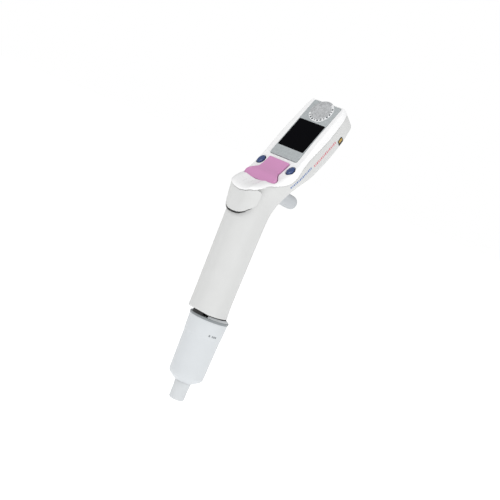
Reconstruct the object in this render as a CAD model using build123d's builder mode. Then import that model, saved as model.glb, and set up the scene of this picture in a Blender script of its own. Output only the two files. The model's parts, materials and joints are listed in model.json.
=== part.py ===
"""Electronic adjustable pipette with a tilted control head and a tip ejector.

+Z runs up the tip cone's axis, the display faces -Y, and the origin is at the
centre of the tip cone's mouth. All lengths are in millimetres.
"""
from build123d import *
from math import cos, hypot, radians, sin
import os

# ---- driving dimensions ----------------------------------------------------
TILT = 27.6                 # lean of the control face back from upright, degrees
FACE_TOP = (37.4, 274.0)    # (Y, Z) of the control panel's top edge
PANEL_WIDTH = 30.3
PANEL_LENGTH = 62.1
DIAL_RADIUS = 11.4
DIAL_T = 9.1                # dial centre, measured down the face from FACE_TOP
DISPLAY_TOP_T = 21.6
DISPLAY_LENGTH = 30.4
DISPLAY_WIDTH = 28.8
WALL = 1.8                  # moulded shell thickness
INNER_CORNER = 2.5          # corner radius inside the head shell
GAP = 0.15                  # parting gap between fixed mouldings
SLIDE_GAP = 0.3             # gap beside a moving moulding
HANDLE_BOTTOM = 77.2
FOOT_FRONT_RISE = 0.23      # the handle's bottom rises this much per mm in front of FOOT_RISE_Y
FOOT_RISE_Y = -16.0
PISTON_RADIUS = 8.0         # 8 mm radius and 25 mm stroke sweep 5 ml
CONE_LAND_RADIUS = 6.6      # cylindrical land that seals in a pipette tip
SLEEVE_TOP = 72.4
RING_TOP = 74.4
RING_CONE_TOP = 76.6        # the ring's conical shoulder, open at the front for the rail
RING_RADIUS = 17.0
CORE_RADIUS = 11.6

DOWN = (-sin(radians(TILT)), -cos(radians(TILT)))   # (Y, Z) down the face
BACK = (cos(radians(TILT)), -sin(radians(TILT)))    # (Y, Z) into the head


def face_point(t, depth=0.0):
    """(Y, Z) of a point t down the control face and depth behind it."""
    return (
        FACE_TOP[0] + t * DOWN[0] + depth * BACK[0],
        FACE_TOP[1] + t * DOWN[1] + depth * BACK[1],
    )


def face_plane(t, depth=0.0, x=0.0):
    """Plane on the control face: local x = +X, local y = up the face, local z = out."""
    y, z = face_point(t, depth)
    return Plane(origin=(x, y, z), x_dir=(1, 0, 0), z_dir=(0, -BACK[0], -BACK[1]))


def section(front, back, half_width, bevel, bevel_depth, front_r, ridge_r, back_r, inset=0.0):
    """Bevelled oblong across X, standing on the side-view line from front to back.

    With an inset it is the plainer rounded oblong of the hollow inside.
    """
    depth = hypot(back[0] - front[0], back[1] - front[1])
    along = ((back[0] - front[0]) / depth, (back[1] - front[1]) / depth)
    middle = ((front[0] + back[0]) / 2, (front[1] + back[1]) / 2)
    plane = Plane(origin=(0, *middle), x_dir=(1, 0, 0), z_dir=(0, -along[1], along[0]))
    x = half_width - inset
    y = depth / 2 - inset
    right = [(x - bevel, -y), (x, bevel_depth - y), (x, y)]
    radii = [front_r, ridge_r, back_r]
    if inset:
        right = [(x, -y), (x, y)]
        radii = [max(1.7 * bevel - inset, INNER_CORNER), back_r - inset]
    left = [(-px, py) for px, py in reversed(right)]
    with BuildSketch(plane) as sketch:
        with BuildLine():
            FilletPolyline(*right, *left, radius=radii + radii[::-1], close=True)
        make_face()
    return sketch.sketch


def refined(rows, step=11.0):
    """Rows with smooth in-between rows added, so that they stand about step apart."""
    flat = [(*front, *back, *rest) for front, back, *rest in rows]
    along = [0.0]
    for low, high in zip(flat, flat[1:]):
        front_run = hypot(high[0] - low[0], high[1] - low[1])
        back_run = hypot(high[2] - low[2], high[3] - low[3])
        along.append(along[-1] + max(front_run, back_run))
    last = len(flat) - 1
    slopes = []
    for i in range(len(flat)):
        before, after = max(i - 1, 0), min(i + 1, last)
        run = along[after] - along[before]
        slopes.append([(b - a) / run for a, b in zip(flat[before], flat[after])])
    result = [flat[0]]
    for i in range(last):
        run = along[i + 1] - along[i]
        count = max(1, round(run / step))
        for k in range(1, count + 1):
            u = k / count
            start, end = 2 * u**3 - 3 * u**2 + 1, 3 * u**2 - 2 * u**3
            leave, arrive = (u**3 - 2 * u**2 + u) * run, (u**3 - u**2) * run
            result.append([
                start * a + end * b + leave * p + arrive * q
                for a, b, p, q in zip(flat[i], flat[i + 1], slopes[i], slopes[i + 1])
            ])
    return [((r[0], r[1]), (r[2], r[3]), *r[4:]) for r in result]


def form(rows, inset=0.0):
    """Smooth solid through rows of sections, all drawn smaller by inset."""
    with BuildPart(mode=Mode.PRIVATE) as solid:
        loft([section(*row, inset=inset) for row in refined(rows)])
    return solid.part


def coil(radius, wire_radius, bottom, top, turns):
    """Compression spring about the Z axis, as one swept wire."""
    pitch = (top - bottom) / turns
    with BuildPart(mode=Mode.PRIVATE) as wire:
        with BuildLine():
            path = Helix(pitch=pitch, height=top - bottom, radius=radius, center=(0, 0, bottom))
        with BuildSketch(Plane(origin=path @ 0, z_dir=path % 0)):
            Circle(wire_radius)
        sweep(is_frenet=True)
    return wire.part


def save(node, name):
    node.part.label = name
    export_step(node.part, f"parts/{name}.step")


os.makedirs("parts", exist_ok=True)

# ---- outer forms ------------------------------------------------------------
HEAD_END_T = -1.0           # the head ends this far above the panel's top edge
END_DEPTH = 23.8            # depth of the head at its end
END_DROP = 3.4              # the end face slopes down by this much from front to back


# front (Y, Z), back (Y, Z), half width, bevel width and depth, front, ridge and back radius
def head_rows(top_t):
    """Sections of the head from the rocker up to the end face at top_t."""
    return [
        ((2.0, 207.4), (25.2, 204.6), 22.4, 1.6, 4.0, 2.5, 4.0, 9.0),
        (face_point(60, 0.8), face_point(60, 23.6), 22.6, 1.1, 3.5, 1.6, 4.0, 8.5),
        (face_point(40), face_point(40, 25.6), 22.4, 1.1, 4.5, 1.6, 4.0, 8.5),
        (face_point(20), face_point(20, 25.8), 21.8, 1.2, 5.0, 1.6, 4.0, 8.5),
        (face_point(top_t), face_point(top_t + END_DROP, END_DEPTH), 20.9, 1.2, 4.0, 1.6, 4.0, 8.5),
    ]


def handle_rows(bottom):
    """Sections of the handle from its foot up into the neck."""
    return [
        ((-21.3, bottom), (12.4, bottom), 16.2, 8.6, 8.6, 14.3, 14.3, 15.0),
        ((-21.5, 91), (11.5, 91), 15.8, 8.4, 8.4, 14.1, 14.1, 14.7),
        ((-22.0, 120), (11.5, 120), 16.1, 8.6, 8.6, 14.3, 14.3, 15.0),
        ((-22.4, 157), (11.6, 157), 16.5, 8.7, 8.7, 14.5, 14.5, 15.2),
        ((-22.6, 170), (12.3, 170), 16.7, 8.6, 8.6, 14.3, 14.3, 15.0),
        ((-21.6, 183.5), (15.0, 182), 17.4, 7.4, 7.4, 12.3, 12.3, 13.0),
        ((-11.5, 195.0), (18.3, 193.5), 20.2, 4.0, 5.5, 6.0, 6.5, 10.5),
    ]


# the chin: the lower front of the control head, which overhangs the ejector button
CHIN_ROWS = [
    ((-26.4, 180.6), (13.4, 174.5), 18.0, 7.0, 7.0, 11.6, 11.6, 12.5),
    ((-26.2, 184.2), (14.6, 179), 18.3, 6.6, 6.6, 11.0, 11.0, 12.0),
    ((-21.8, 188.2), (16.2, 185.5), 19.3, 5.4, 6.0, 8.6, 8.6, 11.0),
    ((-9.8, 195.6), (18.6, 194.0), 21.5, 3.0, 5.0, 4.2, 5.0, 10.0),
]
# outside of the ejector button, which wraps round the front of the handle
BUTTON_ROWS = [
    ((-24.0, 157.0), (12, 157.0), 16.8, 8.0, 8.0, 13.2, 13.2, 12.0),
    ((-25.3, 172), (12, 172), 17.3, 7.7, 7.7, 12.7, 12.7, 12.0),
    ((-26.4, 184), (12, 184), 18.0, 7.0, 7.0, 11.6, 11.6, 12.0),
]
# the handle's own surface with clearance, which the button's inside follows
CLEARANCE_ROWS = [
    ((-22.95, 150), (12.7, 150), 17.05, 8.6, 8.6, 14.3, 14.3, 15.0),
    ((-22.95, 172), (12.7, 172), 17.1, 8.6, 8.6, 14.3, 14.3, 15.0),
    ((-22.95, 184), (15.4, 184), 17.9, 7.4, 7.4, 12.3, 12.3, 13.0),
    ((-22.95, 198), (18.5, 198), 21.5, 5.0, 6.0, 8.0, 8.0, 11.0),
]
# side-view parting line between the front shell (towards -Y) and the body
PARTING = [
    (-34, 180.2), (-26, 181.6), (-17.5, 188.0), (-7.9, 194.3), (-0.7, 197.3), (5.7, 201.0),
    (9.6, 205.5), (11.4, 211), (13.4, 217.5), (17.8, 226.5), (25.6, 238.5),
    (33.9, 253), (40.7, 268), (46, 282),
]


def zone_beside(shift, far_corners):
    """Slab on the far corners' side of the parting line, which is moved by shift (Y, Z)."""
    with BuildPart(mode=Mode.PRIVATE) as zone:
        with BuildSketch(Plane.YZ):
            with BuildLine():
                edge = Spline(*[(y + shift[0], z + shift[1]) for y, z in PARTING])
                Polyline(edge @ 1, *far_corners, edge @ 0)
            make_face()
        extrude(amount=40, both=True)
    return zone.part


BUTTON_GAP = 0.5            # gap between the ejector button and the chin above it
BEHIND = [(90, 282), (90, 60), (-34, 60)]
front_zone = zone_beside((0, 0), [(-60, 282), (-60, 180.2)])
body_zone = zone_beside((GAP, -GAP), BEHIND)
button_zone = zone_beside((0, -BUTTON_GAP), BEHIND)

FLOOR = 2.5                 # thickness of the handle's bottom
body_form = form(handle_rows(HANDLE_BOTTOM) + head_rows(HEAD_END_T))
chin_form = form(CHIN_ROWS + head_rows(HEAD_END_T))
body_cavity = form(handle_rows(HANDLE_BOTTOM + FLOOR) + head_rows(HEAD_END_T + WALL), inset=WALL)
chin_cavity = form(CHIN_ROWS + head_rows(HEAD_END_T + WALL), inset=WALL)


def block(plane, width, height, depth, radius=0.0):
    """Rounded block of width along local x and height along local y, out of the plane by depth."""
    with BuildPart(mode=Mode.PRIVATE) as solid:
        with BuildSketch(plane):
            if radius:
                RectangleRounded(width, height, radius)
            else:
                Rectangle(width, height)
        extrude(amount=depth)
    return solid.part


def tube(outer, inner, bottom, top):
    """Plain ring or disc about the Z axis."""
    with BuildPart(mode=Mode.PRIVATE) as solid:
        with BuildSketch(Plane.XY.offset(bottom)):
            Circle(outer)
            if inner:
                Circle(inner, mode=Mode.SUBTRACT)
        extrude(amount=top - bottom)
    return solid.part


def turned(points):
    """Solid of revolution about Z from (radius, Z) points."""
    with BuildPart(mode=Mode.PRIVATE) as solid:
        with BuildSketch(Plane.XZ):
            with BuildLine():
                Polyline(*points, close=True)
            make_face()
        revolve(axis=Axis.Z)
    return solid.part


# ---- control keys: a plane on the shell's shoulder, leaning further than the face ----
ROCKER_TOP = (6.1, 216.0)     # (Y, Z) ends of the rocker's front edge line
ROCKER_END = (-12.0, 194.7)
ROCKER_LENGTH = hypot(ROCKER_TOP[0] - ROCKER_END[0], ROCKER_TOP[1] - ROCKER_END[1])
ROCKER_DOWN = (
    (ROCKER_END[0] - ROCKER_TOP[0]) / ROCKER_LENGTH,
    (ROCKER_END[1] - ROCKER_TOP[1]) / ROCKER_LENGTH,
)
ROCKER_PIVOT = (3.6, 203.0)
ROCKER_PIN_RADIUS = 1.0
ROCKER_HUB_HALF = 4.5
HUB_OUTER = 2.1
KEY_LEAN = 36.0
KEY_CENTRE = (17.1, 4.2, 210.7)
KEY_WIDTH = 6.6
KEY_HEIGHT = 9.2
KEY_ROOT = 2.6              # the keys reach this far in, where their stems start


def rocker_plane():
    """Local x = +X, local y = up the rocker, local z = outwards, origin at its lower end."""
    return Plane(
        origin=(0, *ROCKER_END), x_dir=(1, 0, 0), z_dir=(0, ROCKER_DOWN[1], -ROCKER_DOWN[0])
    )


def key_plane(side, out=0.0):
    """Plane of a soft key, shifted outwards."""
    lean = radians(KEY_LEAN)
    plane = Plane(
        origin=(side * KEY_CENTRE[0], KEY_CENTRE[1], KEY_CENTRE[2]),
        x_dir=(1, 0, 0),
        z_dir=(0, -cos(lean), sin(lean)),
    )
    return plane.offset(out)


def rocker_outline(grow, low, high):
    """Prism of the rocker's front outline: a neck that flares into a wide rounded paddle."""
    top = ROCKER_LENGTH
    neck, waist, middle, widest, round_off = [
        (half_width + grow, top - down)
        for half_width, down in ((11.1, 12.5), (12.2, 15.5), (15.2, 19.0), (17.3, 22.6), (15.4, 26.8))
    ]
    with BuildPart(mode=Mode.PRIVATE) as solid:
        with BuildSketch(rocker_plane().offset(low)):
            with BuildLine():
                flare = Spline(
                    neck, waist, middle, widest, round_off, (0, -grow), tangents=[(0, -1), (-1, 0)]
                )
                Polyline(flare @ 0, (neck[0], top + grow), (0, top + grow))
                mirror(about=Plane.YZ)
            make_face()
        extrude(amount=high - low)
    return solid.part


# ---- shells ------------------------------------------------------------------
POST_PLACES = [(17.8, 9.0), (-17.8, 9.0), (17.8, 60.0), (-17.8, 60.0)]   # (X, t) of board posts
POST_RADIUS = 1.9
SCREW_HEAD_RADIUS = 1.5
SCREW_HEAD_HEIGHT = 1.3
SCREW_RADIUS = 0.9
BOARD_DEPTH = 6.2
BOARD_THICKNESS = 1.6
BOARD_BACK = BOARD_DEPTH + BOARD_THICKNESS
FLANGE = 0.8
SOFTKEY_SIDES = {"softkey_left": -1, "softkey_right": 1}


def posts(radius, low, high, places=POST_PLACES):
    """Cylinders square to the control face between two depths."""
    with BuildPart(mode=Mode.PRIVATE) as solid:
        for x, t in places:
            with BuildSketch(face_plane(t, low, x)):
                Circle(radius)
            extrude(amount=-(high - low))
    return solid.part


with BuildPart() as front_shell:
    add(chin_form)
    add(front_zone, mode=Mode.INTERSECT)
    add(chin_cavity, mode=Mode.SUBTRACT)
    add(posts(POST_RADIUS, 0.9, BOARD_DEPTH))
    add(posts(SCREW_RADIUS, 1.6, BOARD_DEPTH), mode=Mode.SUBTRACT)
    panel_plane = face_plane(PANEL_LENGTH / 2, 3)
    add(block(panel_plane, PANEL_WIDTH + 2 * GAP, PANEL_LENGTH + 2 * GAP, 6, 1.0), mode=Mode.SUBTRACT)
    add(rocker_outline(0.45, -9, 8), mode=Mode.SUBTRACT)
    for side in SOFTKEY_SIDES.values():
        with BuildSketch(key_plane(side, -6)):
            Ellipse(KEY_WIDTH / 2 + SLIDE_GAP, KEY_HEIGHT / 2 + SLIDE_GAP)
        extrude(amount=10, mode=Mode.SUBTRACT)
save(front_shell, "front_shell")

RAIL_INNER = 14.9
RAIL_OUTER = 17.0
RAIL_HALF_ANGLE = 20
BOSS_WIDTH = 7.2
BOSS_LOW = 174.4
BOSS_HIGH = 179.8
SLOT_LOW = 165.0
SPIGOT_RADIUS = 9.7
COVER_T = (20.0, 56.0)
COVER_WIDTH = 27.0
SOCKET_PLACE = 0.58         # the socket's place on the end face, from its front edge to its back
SOCKET_RADIUS = 3.6
CONTACT_T = 18.6
HOLDER_DEPTHS = (15.6, 21.6)
HOLDER_REACH = 5.0
HOLDER_LENGTH = 5.6
CONTACT_DEPTHS = (16.1, 18.5)
CONTACT_REACH = 4.4
CONTACT_LENGTH = 4.4


def rail_sector(inner, outer, half_angle, bottom, top):
    """Part of a ring round the Z axis, centred on the front (-Y)."""
    with BuildPart(mode=Mode.PRIVATE) as solid:
        with BuildSketch(Plane.XY.offset(bottom)):
            Circle(outer)
            Circle(inner, mode=Mode.SUBTRACT)
            reach = 2 * outer
            spread = reach * sin(radians(half_angle)) / cos(radians(half_angle))
            with BuildLine():
                Polyline((0, 0), (spread, -reach), (-spread, -reach), close=True)
            make_face(mode=Mode.INTERSECT)
        extrude(amount=top - bottom)
    return solid.part


def cover_prism(grow):
    """Cutter for the battery cover in the back of the head."""
    low, high = COVER_T
    return block(
        face_plane((low + high) / 2, 40), COVER_WIDTH + 2 * grow, high - low + 2 * grow, 21, 3.0
    )


def contact_block(side, width, depth_low, depth_high, length):
    """Block in the head's back edge, reaching in from its side by width."""
    middle = (depth_low + depth_high) / 2
    y, z = face_point(CONTACT_T, middle)
    plane = Plane(origin=(side * 23.0, y, z), x_dir=(0, BACK[0], BACK[1]), z_dir=(-side, 0, 0))
    return block(plane, depth_high - depth_low, length, width)


def socket_plane():
    """End face of the head, local z pointing out of it."""
    y, z = face_point(HEAD_END_T + END_DROP * SOCKET_PLACE, END_DEPTH * SOCKET_PLACE)
    front, back = face_point(0), face_point(END_DROP, END_DEPTH)
    return Plane(origin=(0, y, z), x_dir=(1, 0, 0), z_dir=(0, front[1] - back[1], back[0] - front[0]))


with BuildPart() as body_shell:
    add(body_form)
    add(body_zone, mode=Mode.INTERSECT)
    add(body_cavity, mode=Mode.SUBTRACT)
    add(tube(SPIGOT_RADIUS, 0, HANDLE_BOTTOM - 1, HANDLE_BOTTOM + FLOOR + 1), mode=Mode.SUBTRACT)
    add(
        rail_sector(
            RAIL_INNER - 0.4, RAIL_OUTER + 0.4, RAIL_HALF_ANGLE + 2,
            HANDLE_BOTTOM - 1, HANDLE_BOTTOM + FLOOR + 1,
        ),
        mode=Mode.SUBTRACT,
    )
    with BuildSketch(Plane.XZ.offset(17)):
        with Locations((0, (SLOT_LOW + BOSS_HIGH + 0.5) / 2)):
            RectangleRounded(BOSS_WIDTH + 0.8, BOSS_HIGH + 0.5 - SLOT_LOW, 1.0)
    extrude(amount=10, mode=Mode.SUBTRACT)
    with BuildSketch(Plane.YZ):
        with BuildLine():
            foot_reach = 14.0
            Polyline(
                (FOOT_RISE_Y, HANDLE_BOTTOM - 1), (FOOT_RISE_Y, HANDLE_BOTTOM),
                (FOOT_RISE_Y - foot_reach, HANDLE_BOTTOM + foot_reach * FOOT_FRONT_RISE),
                (FOOT_RISE_Y - foot_reach, HANDLE_BOTTOM - 1), close=True,
            )
        make_face()
    extrude(amount=30, both=True, mode=Mode.SUBTRACT)
    add(cover_prism(GAP), mode=Mode.SUBTRACT)
    for side in (-1, 1):
        add(contact_block(side, HOLDER_REACH, *HOLDER_DEPTHS, HOLDER_LENGTH), mode=Mode.SUBTRACT)
    with BuildSketch(socket_plane().offset(-4)):
        Circle(SOCKET_RADIUS)
    extrude(amount=8, mode=Mode.SUBTRACT)
save(body_shell, "body_shell")

with BuildPart() as battery_cover:
    add(body_form)
    add(body_cavity, mode=Mode.SUBTRACT)
    add(cover_prism(0), mode=Mode.INTERSECT)
save(battery_cover, "battery_cover")

# ---- control face ---------------------------------------------------------------
FLANGE_DEPTH = 1.95         # the panel's flange lies behind the shell from here
FLANGE_T = (1.5, 41.5)      # the stretch of the face where the flange holds the shell
with BuildPart() as control_panel:
    panel_back = FLANGE_DEPTH + FLANGE
    add(block(face_plane(PANEL_LENGTH / 2, panel_back), PANEL_WIDTH, PANEL_LENGTH, panel_back, 0.9))
    low, high = FLANGE_T
    add(block(
        face_plane((low + high) / 2, panel_back), PANEL_WIDTH + 1.0, high - low, FLANGE, 0.5
    ))
    display_t = DISPLAY_TOP_T + DISPLAY_LENGTH / 2
    add(block(
        face_plane(display_t, 4), DISPLAY_WIDTH + 2 * GAP, DISPLAY_LENGTH + 2 * GAP, 6, 0.8
    ), mode=Mode.SUBTRACT)
    add(posts(2.1, -1, 4, [(0, DIAL_T)]), mode=Mode.SUBTRACT)
save(control_panel, "control_panel")

with BuildPart() as display_window:
    add(block(face_plane(display_t, WALL), DISPLAY_WIDTH, DISPLAY_LENGTH, WALL, 0.7))
save(display_window, "display_window")

GASKET = 0.9
with BuildPart() as display_gasket:
    rim = 2.0
    gasket_plane = face_plane(display_t, WALL + GASKET)
    add(block(gasket_plane, DISPLAY_WIDTH, DISPLAY_LENGTH, GASKET, 0.7))
    opening = block(gasket_plane.offset(-0.5), DISPLAY_WIDTH - 2 * rim, DISPLAY_LENGTH - 2 * rim, 2, 0.7)
    add(opening, mode=Mode.SUBTRACT)
save(display_gasket, "display_gasket")

MODULE_DEPTH = 5.85         # back of the display module, just clear of the main board
with BuildPart() as display_module:
    module_plane = face_plane(display_t + 1.5, MODULE_DEPTH)
    add(block(module_plane, DISPLAY_WIDTH - 1, DISPLAY_LENGTH + 5, 3.0, 0.5))
save(display_module, "display_module")

DIAL_SHAFT_RADIUS = 1.6
RING_HEIGHT = 0.8           # the flat label ring round the knob
KNOB_HEIGHT = 1.7
KNOB_RADIUS = 8.8
KNOB_FLUTES = 24
with BuildPart() as selection_dial:
    with BuildSketch(face_plane(DIAL_T, -SLIDE_GAP)):
        Circle(DIAL_RADIUS)
    extrude(amount=RING_HEIGHT)
    with BuildSketch(face_plane(DIAL_T, -SLIDE_GAP)):
        Circle(KNOB_RADIUS)
        with PolarLocations(KNOB_RADIUS + 0.2, KNOB_FLUTES):
            Circle(0.6, mode=Mode.SUBTRACT)
    extrude(amount=KNOB_HEIGHT)
    with BuildSketch(face_plane(DIAL_T, 0)):
        Circle(DIAL_SHAFT_RADIUS)
    extrude(amount=SLIDE_GAP + KNOB_HEIGHT - 0.8, mode=Mode.SUBTRACT)
save(selection_dial, "selection_dial")

with BuildPart() as dial_shaft:
    add(posts(DIAL_SHAFT_RADIUS, 0.8 - SLIDE_GAP - KNOB_HEIGHT, 4.8, [(0, DIAL_T)]))
save(dial_shaft, "dial_shaft")

with BuildPart() as rotary_switch:
    add(posts(5.0, 3.2, BOARD_DEPTH, [(0, DIAL_T)]))
    add(posts(DIAL_SHAFT_RADIUS + 0.06, 3.0, 5.2, [(0, DIAL_T)]), mode=Mode.SUBTRACT)
save(rotary_switch, "rotary_switch")

BOARD_WIDTH = 38.0
BOARD_T = (4.0, 73.0)
with BuildPart() as main_board:
    low, high = BOARD_T
    board_plane = face_plane((low + high) / 2, BOARD_BACK)
    add(block(board_plane, BOARD_WIDTH, high - low, BOARD_THICKNESS, 2.0))
    add(posts(SCREW_RADIUS + 0.1, BOARD_DEPTH - 1, BOARD_BACK + 1), mode=Mode.SUBTRACT)
save(main_board, "main_board")

with BuildPart() as board_screws:
    add(posts(SCREW_RADIUS, 2.2, BOARD_BACK + 0.2))
    add(posts(SCREW_HEAD_RADIUS, BOARD_BACK, BOARD_BACK + SCREW_HEAD_HEIGHT))
save(board_screws, "board_screws")

# ---- rocker, soft keys and their switches -----------------------------------------
with BuildPart() as rocker_key:
    with BuildSketch(Plane.YZ):
        with BuildLine():
            front_line = Spline(
                ROCKER_TOP, (2.6, 210.6), (-2.4, 205.1), (-6.4, 201.9), ROCKER_END,
                tangents=[(-0.50, -0.86), (-0.80, -0.60)],
            )
            inner = 3.6
            Polyline(
                front_line @ 1,
                (ROCKER_END[0] + 1.8, ROCKER_END[1] - 2.2),
                (ROCKER_TOP[0] + inner * 0.9, ROCKER_TOP[1] - inner * 0.75),
                front_line @ 0,
            )
        make_face()
    extrude(amount=20, both=True)
    add(rocker_outline(0, -9, 8), mode=Mode.INTERSECT)
    with BuildSketch(Plane.YZ):
        with Locations(ROCKER_PIVOT):
            Circle(HUB_OUTER)
        # web that joins the hub to the back of the key
        with BuildLine():
            y, z = ROCKER_PIVOT
            Polyline(
                (y + 2.0, z + 0.8), (y - 1.5, z + 4.6), (y - 4.5, z + 1.4), (y - 0.8, z - 2.0), close=True
            )
        make_face()
    extrude(amount=ROCKER_HUB_HALF, both=True)
    with BuildSketch(Plane.YZ):
        with Locations(ROCKER_PIVOT):
            Circle(ROCKER_PIN_RADIUS + 0.05)
    extrude(amount=20, both=True, mode=Mode.SUBTRACT)
save(rocker_key, "rocker_key")

EAR_PLACE = ROCKER_HUB_HALF + 0.4    # inner faces of the bracket's two ears
EAR_THICKNESS = 1.4
with BuildPart() as rocker_pin:
    with BuildSketch(Plane.YZ):
        with Locations(ROCKER_PIVOT):
            Circle(ROCKER_PIN_RADIUS)
    extrude(amount=EAR_PLACE + EAR_THICKNESS, both=True)
save(rocker_pin, "rocker_pin")

with BuildPart() as rocker_bracket:
    for side in (-1, 1):
        with BuildSketch(Plane.YZ.offset(side * (EAR_PLACE + EAR_THICKNESS / 2))):
            with Locations(ROCKER_PIVOT):
                Circle(HUB_OUTER)
            with BuildLine():
                foot_high = face_point(66, BOARD_DEPTH)
                foot_low = face_point(72, BOARD_DEPTH)
                y, z = ROCKER_PIVOT
                Polyline((y + 0.2, z + 2.1), foot_high, foot_low, (y + 1.2, z - 1.6), close=True)
            make_face()
            with Locations(ROCKER_PIVOT):
                Circle(ROCKER_PIN_RADIUS, mode=Mode.SUBTRACT)
        extrude(amount=EAR_THICKNESS / 2, both=True)
save(rocker_bracket, "rocker_bracket")

SWITCH_HEIGHT = 2.0
for name, side in SOFTKEY_SIDES.items():
    with BuildPart() as softkey:
        with BuildSketch(key_plane(side, -KEY_ROOT)):
            Ellipse(KEY_WIDTH / 2, KEY_HEIGHT / 2)
        extrude(amount=KEY_ROOT + 1.0)
        fillet(softkey.edges().group_by(Axis((0, 0, 0), key_plane(side).z_dir))[-1], 0.6)
        with BuildSketch(key_plane(side, -KEY_ROOT)):
            Circle(1.5)
        extrude(amount=-0.6)
    save(softkey, name)

with BuildPart() as key_switches:
    for side in (-1, 1):
        add(block(face_plane(70.2, BOARD_DEPTH, side * KEY_CENTRE[0]), 3.6, 5.0, SWITCH_HEIGHT, 0.5))
save(key_switches, "key_switches")

# ---- power ----------------------------------------------------------------------
with BuildPart() as battery_pack:
    add(block(face_plane(38, 21.5), 30.0, 40.0, 9.5, 3.0))
save(battery_pack, "battery_pack")

with BuildPart() as power_socket:
    with BuildSketch(socket_plane()):
        Circle(SOCKET_RADIUS)
        Circle(1.8, mode=Mode.SUBTRACT)
    extrude(amount=-9)
    with BuildSketch(socket_plane().offset(-9)):
        Circle(SOCKET_RADIUS)
    extrude(amount=-2)
save(power_socket, "power_socket")

with BuildPart() as contact_holders:
    for side in (-1, 1):
        add(contact_block(side, HOLDER_REACH, *HOLDER_DEPTHS, HOLDER_LENGTH))
    add(body_form, mode=Mode.INTERSECT)
    for side in (-1, 1):
        add(contact_block(side, CONTACT_REACH, *CONTACT_DEPTHS, CONTACT_LENGTH), mode=Mode.SUBTRACT)
save(contact_holders, "contact_holders")

with BuildPart() as charging_contacts:
    for side in (-1, 1):
        add(contact_block(side, CONTACT_REACH, *CONTACT_DEPTHS, CONTACT_LENGTH))
    add(body_form, mode=Mode.INTERSECT)
save(charging_contacts, "charging_contacts")

# ---- finger rest -------------------------------------------------------------------
REST_WIDTH = 13.0
with BuildPart() as finger_rest:
    with BuildSketch(Plane.YZ):
        with BuildLine():
            crown = Spline(
                (12, 199.5), (22, 195.2), (31, 192.8), (39.5, 191.8),
                tangents=[(0.9, -0.45), (0.97, -0.2)],
            )
            tip = ThreePointArc(crown @ 1, (44.7, 186.2), (38.6, 180.2))
            under = Spline(
                tip @ 1, (29.5, 181.2), (20.5, 181.0), (12, 174.0),
                tangents=[(-1, 0.05), (-0.6, -0.8)],
            )
            Line(under @ 1, crown @ 0)
        make_face()
    extrude(amount=REST_WIDTH / 2, both=True)
    fillet(finger_rest.edges().filter_by(GeomType.CIRCLE), 4.5)
    add(body_form, mode=Mode.SUBTRACT)
save(finger_rest, "finger_rest")

# ---- tip ejector -----------------------------------------------------------------------
LIP_FRONT = (-24.3, 162.1)  # (Y, Z) of the lip's lowest point
LIP_SLOPE = 2.08            # rise of the slanted lip per mm towards the back
BUTTON_EDGE_Y = -17.4       # the button's upright side edges


def lip_point(y):
    """(Y, Z) on the plane of the slanted lip."""
    return (y, LIP_FRONT[1] + (y - LIP_FRONT[0]) * LIP_SLOPE)


with BuildPart() as ejector_button:
    add(form(BUTTON_ROWS))
    with BuildSketch(Plane.YZ):
        with BuildLine():
            Polyline(
                lip_point(-30), lip_point(BUTTON_EDGE_Y), (BUTTON_EDGE_Y, 200), (-30, 200), close=True
            )
        make_face()
    extrude(amount=30, both=True, mode=Mode.INTERSECT)
    add(button_zone, mode=Mode.INTERSECT)
    add(form(CLEARANCE_ROWS), mode=Mode.SUBTRACT)
    with BuildSketch(Plane.XZ.offset(17.02)):
        with Locations((0, (BOSS_LOW + BOSS_HIGH) / 2)):
            RectangleRounded(BOSS_WIDTH, BOSS_HIGH - BOSS_LOW, 0.8)
    extrude(amount=7)
save(ejector_button, "ejector_button")

with BuildPart() as ejector_rail:
    add(rail_sector(RAIL_INNER, RAIL_OUTER, RAIL_HALF_ANGLE, RING_TOP, BOSS_HIGH))
save(ejector_rail, "ejector_rail")

RING_CONE_RADIUS = 13.2
RING_OPEN_HALF_ANGLE = 37
with BuildPart() as ejector_ring:
    add(turned([
        (CORE_RADIUS + SLIDE_GAP, SLEEVE_TOP), (RING_RADIUS - 0.3, SLEEVE_TOP),
        (RING_RADIUS, SLEEVE_TOP + 0.3), (RING_RADIUS, RING_TOP - 0.3), (RING_RADIUS - 0.3, RING_TOP),
        (RING_CONE_RADIUS + 0.4, RING_CONE_TOP), (RING_CONE_RADIUS, RING_CONE_TOP),
        (RING_CONE_RADIUS, RING_TOP), (CORE_RADIUS + SLIDE_GAP, RING_TOP),
    ]))
    add(
        rail_sector(CORE_RADIUS, RING_RADIUS + 1, RING_OPEN_HALF_ANGLE, RING_TOP, RING_CONE_TOP + 1),
        mode=Mode.SUBTRACT,
    )
save(ejector_ring, "ejector_ring")

SLEEVE_STEP = 58.0          # the sleeve's upper part stands proud from here
with BuildPart() as ejector_sleeve:
    add(turned([
        (7.5, 16.5), (8.4, 16.5), (13.6, 20.2), (14.7, 21.8), (15.0, 23.5), (15.85, SLEEVE_STEP),
        (16.05, SLEEVE_STEP + 0.3), (16.7, SLEEVE_TOP), (15.3, SLEEVE_TOP), (14.3, SLEEVE_STEP),
        (13.5, 24.2), (7.5, 18.6),
    ]))
save(ejector_sleeve, "ejector_sleeve")

SPRING_RADIUS = 12.2
SPRING_WIRE = 0.5
SPRING_SEAT = 34.0
with BuildPart() as ejector_spring:
    add(coil(SPRING_RADIUS, SPRING_WIRE, SPRING_SEAT + SPRING_WIRE, SLEEVE_TOP - SPRING_WIRE, 7))
save(ejector_spring, "ejector_spring")

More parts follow.
